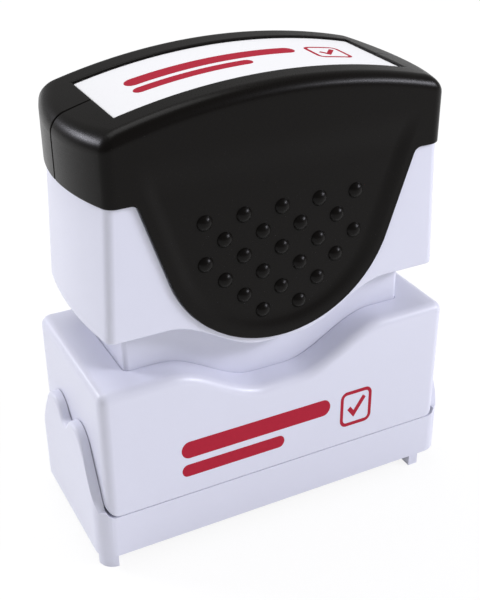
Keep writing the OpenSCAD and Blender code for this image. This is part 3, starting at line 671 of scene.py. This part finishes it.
class STAMP_OT_handle(StampPiece, Operator):
    """White sliding handle with bowed ends, wavy lower edge and pockets for the aprons"""

    bl_idname = "stamp.handle"
    bl_label = "Handle"

    def execute(self, context):
        scene = context.scene
        s, casing, grip = scene.stamp_handle, scene.stamp_casing, scene.stamp_grip
        face = spaced(1, -1, 88)[1:-1]
        # Easing of the lower and the upper edge, the narrow bands beside them, and the least corner inside
        ease, lip, low_band, top_band, least = [mm * MM for mm in (0.35, 0.15, 0.2, 0.1, 0.3)]

        def plan(z, inset):
            half_width = s.half_width - s.lean * (z - s.low) / (s.top - s.low)
            half = bowed_half(half_width - inset, s.half_depth - inset,
                              max(least, s.corner - inset), s.bow, face)
            return half[:-1] + [(-x, -y) for x, y in half[:-1]]

        def low(x):
            return s.low - wave_drop(casing, x)

        rows = [[(x, y, s.deck_top) for x, y in plan(s.deck_top, s.wall)],
                [(x, y, s.top) for x, y in plan(s.top, s.wall)]]
        for up, out in quarter(2):
            rows.append([(x, y, s.top - lip * (1 - out)) for x, y in plan(s.top, lip * (1 - up))])
        rows.append([(x, y, s.top - lip - top_band) for x, y in plan(s.top, 0)])
        rows.append([(x, y, low(x) + ease + low_band) for x, y in plan(s.low, 0)])
        for up, out in quarter(4):
            rows.append([(x, y, low(x) + ease * (1 - up)) for x, y in plan(s.low, ease * (1 - out))])
        rows.append([(x, y, low(x)) for x, y in plan(s.low, s.wall)])
        rows.append([(x, y, s.deck) for x, y in plan(s.deck, s.wall)])
        bm = bmesh.new()
        skin(bm, rows, caps=True)
        obj = add_object(context, "handle_moulding", closed_mesh("handle_moulding", bm))
        cutters = [apron_prism(context, grip, s, turn) for turn in (1, -1)]
        for cutter in cutters:
            cut = obj.modifiers.new("pocket", "BOOLEAN")
            cut.operation, cut.solver, cut.object = "DIFFERENCE", "EXACT", cutter
        baked(context, obj)
        for cutter in cutters:
            bpy.data.objects.remove(cutter)
        seat_piece(context, obj, "white_moulding", "handle", ["handle_shell"])
        return {"FINISHED"}


def recess_lines(label, base, seam_y):
    """The label's recess at each station: its edge, the bevelled rim round it, its bed's end at the seam."""
    rx, ry = label.half_length + label.gap, label.half_depth + label.gap
    # Width of the rim's bevel, and how much shorter than the recess its bed is at the seam
    bevel, shorter = 0.25 * MM, 4 * MM
    last, mid = len(base) - 1, BOW_STEPS + CORNER_STEPS // 2
    edge, bed_end = [], []
    for i, (x, _) in enumerate(base):
        if mid < i < last - mid:
            along = x / base[mid][0]
            edge.append((rx * along, -ry))
            bed_end.append(((rx - shorter) * along, 0))
        else:
            side = 1 if i <= mid else -1
            t = min(i, last - i) / mid
            edge.append((side * rx, seam_y - (ry + seam_y) * t))
            bed_end.append((side * (rx - shorter * t), 0))
    rim = [(x * (rx + bevel) / rx, min(y * (ry + bevel) / ry, seam_y)) for x, y in edge]
    return edge, rim, bed_end


def face_points(s, cap_z, spot, top, seam_y):
    """Points up a grip's outer face at one station, from its lower edge to the rounding of its upper one."""
    (x, y), (top_x, top_y) = spot, top
    on_front = abs(y + s.half_depth) < NONE
    low = grip_low(s, cap_z, x) if on_front else cap_z
    heights = [low + d * MM for d in NEAR_EDGE]
    heights += spaced(heights[-1], arched(s, x) - s.edge, 56)[1:]
    points = []
    for z in heights:
        reach = edge_reach(s, cap_z, x, z) if on_front else z - cap_z
        turn = max(0.0, s.lower_edge - reach)
        inward = s.lower_edge - math.sqrt(max(0.0, s.lower_edge ** 2 - turn ** 2))
        if on_front:
            inward += s.dish_depth * (smooth_step((apron_reach(s, x, z) - s.dish_rim) / s.dish_slope)
                                      * smooth_step((s.dish_top - z) / s.dish_fade))
            points.append((x, y + inward, z))
        else:
            k = inward / s.edge
            points.append((x + (top_x - x) * k, min(y + (top_y - y) * k, seam_y), z))
    return points


def grip_rows(context):
    """Stations of the front grip: closed profiles from the right end round the front to the left end."""
    scene = context.scene
    s, label, cap_z = scene.stamp_grip, scene.stamp_label, scene.stamp_handle.top
    seam_y = -s.seam / 2
    # Least corner of an inner wall, and the two falls of the bevelled rim
    least, first_fall, fall = 0.3 * MM, 0.07 * MM, 0.25 * MM
    corner_x = max(x for x, y in bowed_half(s.half_width, s.half_depth, s.corner, s.bow, [1])
                   if abs(y + s.half_depth) < NONE)
    right = [x * MM / corner_x for band in FACE_BANDS for x in spaced(*band)[:-1]]
    face = list(reversed(right)) + [-f for f in right[1:]]

    def plan(inset):
        radius = max(least, s.corner - inset / 2)
        half = bowed_half(s.half_width - inset, s.half_depth - inset, radius, s.bow, face)
        return [(x, min(y, seam_y)) for x, y in half]

    base, inner, back = plan(0), plan(s.wall), plan(s.half_depth - s.apron_back)
    fillet = [(plan(s.edge * (1 - out)), s.edge * (1 - up)) for up, out in quarter(10)]
    edge, rim, bed_end = recess_lines(label, base, seam_y)
    deep = label.sunk + label.thickness
    rows = []
    for i, spot in enumerate(base):
        top = fillet[-1][0][i]
        profile = face_points(s, cap_z, spot, top, seam_y)
        low = profile[0][2]
        for ring, drop in fillet[1:]:
            profile.append((*ring[i], arched(s, ring[i][0]) - drop))
        # Points close to both edges of the crown keep its shading even
        for t in (0.08, 0.5, 0.92, 1):
            x, y = between([top], [rim[i]], t)[0]
            profile.append((x, y, arched(s, x)))
        x, y = edge[i]
        profile.append(((rim[i][0] + 3 * x) / 4, (rim[i][1] + 3 * y) / 4, arched(s, x) - first_fall))
        profile.append((x, y, arched(s, x) - fall))
        outer = len(profile)
        # Bed of the recess, the wall's inner side, and the apron's back
        profile.append((x, y, arched(s, x, deep)))
        profile += [(*bed_end[i], arched(s, bed_end[i][0], d)) for d in (deep, deep + s.wall)]
        profile += [(*inner[i], z) for z in (arched(s, inner[i][0], deep + s.wall), cap_z)]
        profile += [(*back[i], z) for z in (cap_z, low)]
        rows.append(profile)
    # One lip of the V at each end: the outer skin falls away over this share of the last step to the seam
    lip = 0.28
    lips = [[Vector(a).lerp(Vector(b), lip) for a, b in zip(rows[end], rows[beside])]
            for end, beside in ((0, 1), (-1, -2))]
    ends = [grooved(rows[0], outer, s.groove), grooved(rows[-1], outer, -s.groove)]
    return [ends[0], lips[0], *rows[1:-1], lips[1], ends[1]]


def grooved(profile, outer, depth):
    """An end profile whose outer points move in along the seam, and which meets the other grip inside."""
    made = profile[:outer] + [(x, 0, z) for x, _, z in profile[outer:]]
    for i in range(outer):
        (ax, _, az), (bx, _, bz) = profile[max(0, i - 1)], profile[i + 1]
        along = Vector((bx - ax, bz - az)).normalized()
        x, y, z = profile[i]
        made[i] = (x - depth * along.y, y, z + depth * along.x)
    return made


class STAMP_OT_grips(StampPiece, Operator):
    """Black front and rear grips: two halves of the cap, each with a dished apron"""

    bl_idname = "stamp.grips"
    bl_label = "Grips"

    def execute(self, context):
        rows = grip_rows(context)
        for node, turn in (("front_grip", 1), ("rear_grip", -1)):
            name = node + "_moulding"
            bm = bmesh.new()
            skin(bm, [[(turn * x, turn * y, z) for x, y, z in row] for row in rows], caps=True)
            obj = add_object(context, name, closed_mesh(name, bm))
            seat_piece(context, obj, "black_moulding", "handle", [node], crease=42)
        return {"FINISHED"}


def point_tree(name, sizes):
    """A tree that takes points, named sizes and a finish, with its inputs' identifiers and its first node."""
    tree = bpy.data.node_groups.new(name, "GeometryNodeTree")
    kinds = {"Points": "Geometry", **sizes, "Finish": "Material"}
    inputs = {label: tree.interface.new_socket(name=label, in_out="INPUT",
                                               socket_type="NodeSocket" + kind).identifier
              for label, kind in kinds.items()}
    tree.interface.new_socket(name="Pieces", in_out="OUTPUT", socket_type="NodeSocketGeometry")
    return tree, inputs, add_node(tree, "NodeGroupInput")


def end_tree(tree, start, shape, sockets=None):
    """Ends a tree: the shape is set on every point, made real and given its finish."""
    copies = add_node(tree, "GeometryNodeInstanceOnPoints",
                      {"Points": start.outputs["Points"], "Instance": shape, **(sockets or {})})
    real = add_node(tree, "GeometryNodeRealizeInstances", {"Geometry": copies.outputs["Instances"]})
    dressed = add_node(tree, "GeometryNodeSetMaterial",
                       {"Geometry": real.outputs["Geometry"], "Material": start.outputs["Finish"]})
    add_node(tree, "NodeGroupOutput", {"Pieces": dressed.outputs["Geometry"]})


def grown(context, name, points, tree, inputs, values):
    """A plain mesh object of what a tree makes on the points."""
    mesh = bpy.data.meshes.new(name)
    mesh.from_pydata(points, [], [])
    obj = add_object(context, name, mesh)
    field = obj.modifiers.new("field", "NODES")
    field.node_group = tree
    for label, value in values.items():
        field[inputs[label]] = value
    baked(context, obj)
    return obj


def bump_tree():
    """Nodes that set a low dome on every point: the cap of a ball in front, a shallow root behind."""
    tree, inputs, start = point_tree("grip_bump_field", {
        "Radius": "Float", "Height": "Float", "Ball": "Float", "Turn": "Float", "Rings": "Int"})
    segments = add_node(tree, "ShaderNodeMath", {0: start.outputs["Rings"], 1: 2.0}, operation="MULTIPLY")
    ball = add_node(tree, "GeometryNodeMeshUVSphere",
                    {"Segments": segments.outputs["Value"], "Rings": start.outputs["Rings"], "Radius": 1.0})
    spot = add_node(tree, "ShaderNodeSeparateXYZ",
                    {"Vector": add_node(tree, "GeometryNodeInputPosition").outputs["Position"]})
    # On a unit ball the distance from the dome's axis follows from Y, and so does the height of the cap there
    sums = {**{size: start.outputs[size] for size in ("Radius", "Height", "Ball")},
            **{axis: spot.outputs[axis] for axis in "XYZ"}}
    for name, operation, first, second in (
            ("wide_x", "MULTIPLY", "Radius", "X"), ("wide_z", "MULTIPLY", "Radius", "Z"),
            ("radius_2", "POWER", "Radius", 2.0), ("y_2", "POWER", "Y", 2.0),
            ("ball_2", "POWER", "Ball", 2.0), ("off_y", "SUBTRACT", 1.0, "y_2"),
            ("off_axis", "MULTIPLY", "radius_2", "off_y"), ("cap_2", "SUBTRACT", "ball_2", "off_axis"),
            ("cap", "SQRT", "cap_2", 0.0), ("cap_high", "ADD", "cap", "Height"),
            ("rise", "SUBTRACT", "cap_high", "Ball"), ("before", "MULTIPLY", "rise", -1.0),
            ("root", "MULTIPLY", "Height", 0.3), ("behind", "MULTIPLY", "Y", "root"),
            ("in_front", "LESS_THAN", "Y", 0.0)):
        step = {0: sums.get(first, first), 1: sums.get(second, second)}
        sums[name] = add_node(tree, "ShaderNodeMath", step, operation=operation).outputs["Value"]
    depth = add_node(tree, "ShaderNodeMix",
                     {"Factor": sums["in_front"], "A": sums["behind"], "B": sums["before"]})
    place = add_node(tree, "ShaderNodeCombineXYZ",
                     {"X": sums["wide_x"], "Y": depth.outputs["Result"], "Z": sums["wide_z"]})
    dome = add_node(tree, "GeometryNodeSetPosition",
                    {"Geometry": ball.outputs["Mesh"], "Position": place.outputs["Vector"]})
    turned = add_node(tree, "ShaderNodeCombineXYZ", {"Z": start.outputs["Turn"]})
    end_tree(tree, start, dome.outputs["Geometry"], {"Rotation": turned.outputs["Vector"]})
    return tree, inputs


class STAMP_OT_bumps(StampPiece, Operator):
    """Rows of low domes on each apron"""

    bl_idname = "stamp.bumps"
    bl_label = "Grip bumps"

    def execute(self, context):
        s = context.scene.stamp_grip
        tree, inputs = bump_tree()
        floor_y = s.dish_depth - s.half_depth
        for name, turn in (("front_grip_bumps", 1), ("rear_grip_bumps", -1)):
            points = []
            for row, number in enumerate(BUMP_ROWS):
                z = s.bump_low + (len(BUMP_ROWS) - 1 - row) * s.bump_row_pitch
                points += [(turn * (i - (number - 1) / 2) * s.bump_pitch, turn * floor_y, z)
                           for i in range(number)]
            obj = grown(context, name, points, tree, inputs, {
                "Radius": s.bump_radius, "Height": s.bump_height,
                "Ball": (s.bump_radius ** 2 + s.bump_height ** 2) / (2 * s.bump_height),
                "Turn": 0.0 if turn > 0 else math.pi, "Rings": s.bump_rings,
                "Finish": finish_of(context, "black_moulding")})
            seat_piece(context, obj, "black_moulding", "handle", crease=80)
        return {"FINISHED"}


class STAMP_OT_label(StampPiece, Operator):
    """Arched label in the recess of the cap"""

    bl_idname = "stamp.label"
    bl_label = "Label"

    def execute(self, context):
        s, grip = context.scene.stamp_label, context.scene.stamp_grip
        ease = 0.06 * MM
        section = [(-s.half_depth + ease, 0), (s.half_depth - ease, 0), (s.half_depth, ease),
                   (s.half_depth, s.thickness), (-s.half_depth, s.thickness), (-s.half_depth, ease)]
        rows = [[(x, y, arched(grip, x, s.sunk + drop)) for y, drop in section]
                for x in spaced(-s.half_length, s.half_length, 72)]
        bm = bmesh.new()
        skin(bm, rows, caps=True)
        obj = add_object(context, "label_card", closed_mesh("label_card", bm))
        seat_piece(context, obj, "label", "handle", ["index_label"])
        return {"FINISHED"}


def subdivided(path, step, closed):
    """The path with points no further apart than step."""
    made = []
    for a, b in zip(path, path[1:] + path[:1] if closed else path[1:]):
        pieces = max(1, math.ceil(math.dist(a, b) / step))
        made += [(a[0] + (b[0] - a[0]) * i / pieces, a[1] + (b[1] - a[1]) * i / pieces)
                 for i in range(pieces)]
    return made if closed else made + [path[-1]]


def stroke(bm, path, half_width, place, thickness, closed=False, round_ends=False):
    """A printed stroke of even width along a flat path, laid on a surface by place(u, v, height)."""
    step, least = 0.5 * MM, 0.12 * half_width
    path = subdivided(path, step, closed)
    n = len(path)
    rows = []
    for i, (u, v) in enumerate(path):
        here = Vector((u, v))
        came = (here - Vector(path[i - 1])).normalized() if i or closed else None
        goes = (Vector(path[(i + 1) % n]) - here).normalized() if i < n - 1 or closed else None
        came, goes = came or goes, goes or came
        along = (came + goes).normalized()
        reach = half_width / max(0.5, along.dot(came))
        if round_ends:
            short = max(0.0, half_width - min(math.dist(path[0], (u, v)), math.dist(path[-1], (u, v))))
            reach = max(least, math.sqrt(max(0.0, half_width ** 2 - short ** 2)))
        nu, nv = -along.y * reach, along.x * reach
        rows.append([place(u + nu, v + nv, thickness), place(u - nu, v - nv, thickness),
                     place(u - nu, v - nv, -thickness), place(u + nu, v + nv, -thickness)])
    skin(bm, rows, wrap_rows=closed, caps=not closed)


def message_design(bm, s, place, width):
    """Generic office mark: a ticked box at the right of two ruled bars."""
    left, box, tick_half = -width / 2, BOX_HALF * MM, 0.65 * s.line
    centre = width / 2 - box - s.line
    ring = [(centre + u, v) for u, v in rounded_plan(box, box, BOX_CORNER * MM, along=1, across=1, turn=6)]
    stroke(bm, ring, s.line / 2, place, s.ink, closed=True)
    stroke(bm, [(centre + u * MM, v * MM) for u, v in TICK], tick_half, place, s.ink)
    full = centre - box - BOX_GAP * MM - left
    for low, high, share in BARS:
        half, level, stop = (high - low) / 2 * MM, (high + low) / 2 * MM, left + full * share
        turn = [half * (1 - out) for up, out in quarter(6)]
        us = [left + d for d in turn] + spaced(left + half, stop - half, 40)[1:-1]
        us += [stop - d for d in reversed(turn)]
        stroke(bm, [(u, level) for u in us], half, place, s.ink, round_ends=True)


class STAMP_OT_print(StampPiece, Operator):
    """Red design printed on the label and on the casing's front"""

    bl_idname = "stamp.print"
    bl_label = "Printed design"

    def execute(self, context):
        scene = context.scene
        s, grip, casing = scene.stamp_label, scene.stamp_grip, scene.stamp_casing
        # The design lies a little off the middle, and is drawn a little taller on the casing's front
        off, front_z, stretch = 0.3 * MM, 16.2 * MM, 1.15

        def on_label(u, v, height):
            return (u, v - off, arched(grip, u, s.sunk) + height)

        def on_front(u, v, height):
            return (u - off, -casing.half_depth - height, front_z + v * stretch)

        for name, slot, body, place, width in (
                ("label_print", "label", "handle", on_label, 34 * MM),
                ("front_print", "white_moulding", "base", on_front, 33.4 * MM)):
            bm = bmesh.new()
            message_design(bm, s, place, width)
            obj = add_object(context, name, closed_mesh(name, bm))
            seat_piece(context, obj, slot, body, finish="ink", crease=30)
        return {"FINISHED"}


class STAMP_OT_inner_mouldings(StampPiece, Operator):
    """Plunger, shutters, spring bridge and die bezel"""

    bl_idname = "stamp.inner_mouldings"
    bl_label = "Inner mouldings"

    def execute(self, context):
        for node, name, slot, body, ease in (
                ("plunger", "plunger_moulding", "white_moulding", "handle", 0.22),
                ("front_shutter", "front_shutter_leaf", "inner_moulding", "front_leaf", 0.14),
                ("rear_shutter", "rear_shutter_leaf", "inner_moulding", "rear_leaf", 0.14),
                ("spring_bridge", "spring_bridge_moulding", "inner_moulding", "base", 0.25),
                ("die_bezel", "die_bezel_moulding", "inner_moulding", "handle", 0.12)):
            eased_node(context, node, name, slot, body, ease)
        return {"FINISHED"}


class STAMP_OT_die(StampPiece, Operator):
    """Printing die and the inked felt behind it"""

    bl_idname = "stamp.die"
    bl_label = "Die and felt"

    def execute(self, context):
        eased_node(context, "stamp_die", "stamp_die_rubber", "die_rubber", "handle", 0.12)
        eased_node(context, "ink_reservoir", "ink_reservoir_felt", "inked_felt", "handle", 0.3)
        return {"FINISHED"}


class STAMP_OT_hardware(StampPiece, Operator):
    """Stub axles, drive pins and screws"""

    bl_idname = "stamp.hardware"
    bl_label = "Pins and screws"

    def execute(self, context):
        for node, body, ease in (
                ("shutter_pivot_left", "base", 0.12), ("shutter_pivot_right", "base", 0.12),
                ("shutter_drive_pin_left", "handle", 0.15), ("shutter_drive_pin_right", "handle", 0.15),
                ("handle_screws", "handle", 0.2)):
            eased_node(context, node, node + "_steel", "steel", body, ease)
        return {"FINISHED"}


def spring_tree():
    """Nodes that wind a coil of round wire on every point."""
    tree, inputs, start = point_tree("return_spring_coil", {
        "Turns": "Float", "Coil Radius": "Float", "Wire Radius": "Float", "Height": "Float"})
    radius = start.outputs["Coil Radius"]
    coil = add_node(tree, "GeometryNodeCurveSpiral",
                    {"Resolution": 40, "Rotations": start.outputs["Turns"], "Start Radius": radius,
                     "End Radius": radius, "Height": start.outputs["Height"]})
    wire = add_node(tree, "GeometryNodeCurvePrimitiveCircle",
                    {"Resolution": 12, "Radius": start.outputs["Wire Radius"]})
    tube = add_node(tree, "GeometryNodeCurveToMesh",
                    {"Curve": coil.outputs["Curve"], "Profile Curve": wire.outputs["Curve"],
                     "Fill Caps": True})
    end_tree(tree, start, tube.outputs["Mesh"])
    return tree, inputs


class STAMP_OT_springs(StampPiece, Operator):
    """The two return springs, each wound to the height of its node"""

    bl_idname = "stamp.springs"
    bl_label = "Return springs"

    def execute(self, context):
        tree, inputs = spring_tree()
        turns, wire, coil = 9.0, 0.35 * MM, 2.9 * MM
        for node in ("return_spring_left", "return_spring_right"):
            low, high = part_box(node)
            tall = high.z - low.z
            seat = ((low.x + high.x) / 2, 0, low.z + wire)
            obj = grown(context, node + "_wire", [seat], tree, inputs, {
                "Turns": turns, "Coil Radius": coil, "Wire Radius": wire, "Height": tall - 2 * wire,
                "Finish": finish_of(context, "steel")})
            seat_piece(context, obj, "steel", "base", [node], crease=60)
            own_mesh(obj)
        return {"FINISHED"}


def studio_floor(base):
    """Seamless white floor: white to the camera and in reflections, but for the stamp's shadow."""
    material, tree, place = new_material("seamless_white_floor")
    grain = add_node(tree, "ShaderNodeTexNoise", {"Vector": place, "Scale": per_metre(4), "Detail": 2.0})
    shade = [c * 0.99 for c in base[:3]] + [1.0]
    tint = add_node(tree, "ShaderNodeMix", {"Factor": grain.outputs["Fac"], "A": shade, "B": list(base)},
                    data_type="RGBA")
    matt = add_node(tree, "ShaderNodeBsdfDiffuse", {"Color": tint.outputs["Result"]})
    path = add_node(tree, "ShaderNodeLightPath")
    share = path.outputs["Is Camera Ray"]
    # The last step leaves a share of the lit floor, which holds the shadow
    for operation, other in (("MAXIMUM", path.outputs["Is Glossy Ray"]),
                             ("MAXIMUM", path.outputs["Is Transmission Ray"]), ("MULTIPLY", 0.85)):
        share = add_node(tree, "ShaderNodeMath", {0: share, 1: other}, operation=operation).outputs["Value"]
    glow = add_node(tree, "ShaderNodeEmission", {"Color": (1, 1, 1, 1), "Strength": 1.03})
    both = add_node(tree, "ShaderNodeMixShader",
                    {"Fac": share, 1: matt.outputs["BSDF"], 2: glow.outputs["Emission"]})
    add_node(tree, "ShaderNodeOutputMaterial", {"Surface": both.outputs["Shader"]})
    return material


class STAMP_OT_stage(StampPiece, Operator):
    """White floor, plain surroundings, soft lamps and the camera"""

    bl_idname = "stamp.stage"
    bl_label = "Studio"

    def execute(self, context):
        scene = context.scene
        scene.view_settings.view_transform = "Standard"
        half = 3.0
        corners = [(-half, -half, 0), (half, -half, 0), (half, half, 0), (-half, half, 0)]
        mesh = bpy.data.meshes.new("studio_floor")
        mesh.from_pydata(corners, [], [(0, 1, 2, 3)])
        mesh.materials.append(studio_floor(scene.stamp_finish.floor))
        floor = add_object(context, "studio_floor", mesh)
        floor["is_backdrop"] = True

        world = bpy.data.worlds.new("white_studio")
        world.use_nodes = True
        tree = world.node_tree
        tree.nodes.clear()
        sky = add_node(tree, "ShaderNodeBackground", {"Color": (1, 1, 1, 1), "Strength": 0.34})
        add_node(tree, "ShaderNodeOutputWorld", {"Surface": sky.outputs["Background"]})
        scene.world = world

        # Soft lamps, aimed at the stamp's middle: place, size, power and tint
        aim = Vector((0, 0, 40 * MM))
        for name, place, size, power, tint in (
                ("left_softbox", (-0.49, 0.50, 0.38), (0.24, 0.13), 2.8, "F4F4FF"),
                ("right_softbox", (0.46, -0.32, 0.34), (0.26, 0.11), 2.6, "F4F4FF"),
                ("top_softbox", (-0.05, 0.25, 0.80), (0.50, 0.50), 2.2, "FFFFFF")):
            lamp = bpy.data.lights.new(name, "AREA")
            lamp.shape, lamp.energy = "RECTANGLE", power
            lamp.size, lamp.size_y = size
            lamp.color = linear(tint)[:3]
            obj = bpy.data.objects.new(name, lamp)
            obj.location = place
            obj.rotation_euler = (aim - Vector(place)).to_track_quat("-Z", "Y").to_euler()
            scene.collection.objects.link(obj)

        # The view in which the stamp's straight edges fall where the photograph has them
        lens = bpy.data.cameras.new("front_left_view")
        lens.lens, lens.sensor_width, lens.sensor_fit = 64.263, 36, "AUTO"
        lens.clip_start, lens.clip_end = 0.01, 20
        camera = bpy.data.objects.new("front_left_view", lens)
        camera.location = (-0.065856, -0.129976, 0.114919)
        turns = [Matrix.Rotation(math.radians(a), 3, axis)
                 for a, axis in ((-26.705, "Z"), (60.501, "X"), (-0.484, "Z"))]
        camera.rotation_euler = (turns[0] @ turns[1] @ turns[2]).to_euler()
        scene.collection.objects.link(camera)
        scene.camera = camera
        return {"FINISHED"}


OPERATORS = (STAMP_OT_stage, STAMP_OT_casing, STAMP_OT_frame, STAMP_OT_handle, STAMP_OT_grips, STAMP_OT_bumps,
             STAMP_OT_label, STAMP_OT_print, STAMP_OT_inner_mouldings, STAMP_OT_die, STAMP_OT_hardware,
             STAMP_OT_springs)


class STAMP_PT_pieces(Panel):
    """Sidebar panel with the stamp's pieces and sizes"""

    bl_idname = "STAMP_PT_pieces"
    bl_label = "Desk stamp"
    bl_space_type = "VIEW_3D"
    bl_region_type = "UI"
    bl_category = "Stamp"

    def draw(self, context):
        for group_name, group in PROPERTY_GROUPS.items():
            box = self.layout.box()
            box.label(text=group.__doc__)
            for name in group.__annotations__:
                box.prop(getattr(context.scene, group_name), name)
        for operator in OPERATORS:
            self.layout.operator(operator.bl_idname)


def register():
    for group_name, group in PROPERTY_GROUPS.items():
        bpy.utils.register_class(group)
        setattr(bpy.types.Scene, group_name, PointerProperty(type=group))
    for cls in (*OPERATORS, STAMP_PT_pieces):
        bpy.utils.register_class(cls)


def unregister():
    for cls in reversed((*OPERATORS, STAMP_PT_pieces)):
        bpy.utils.unregister_class(cls)
    for group_name, group in PROPERTY_GROUPS.items():
        delattr(bpy.types.Scene, group_name)
        bpy.utils.unregister_class(group)


def main():
    register()
    for operator in OPERATORS:
        group, name = operator.bl_idname.split(".")
        getattr(getattr(bpy.ops, group), name)()
    boxes = {"cad": CAD_BOX, "visual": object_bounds()}
    {name: [list(corner) for corner in box] for name, box in boxes.items()}


if __name__ == "__main__":
    main()
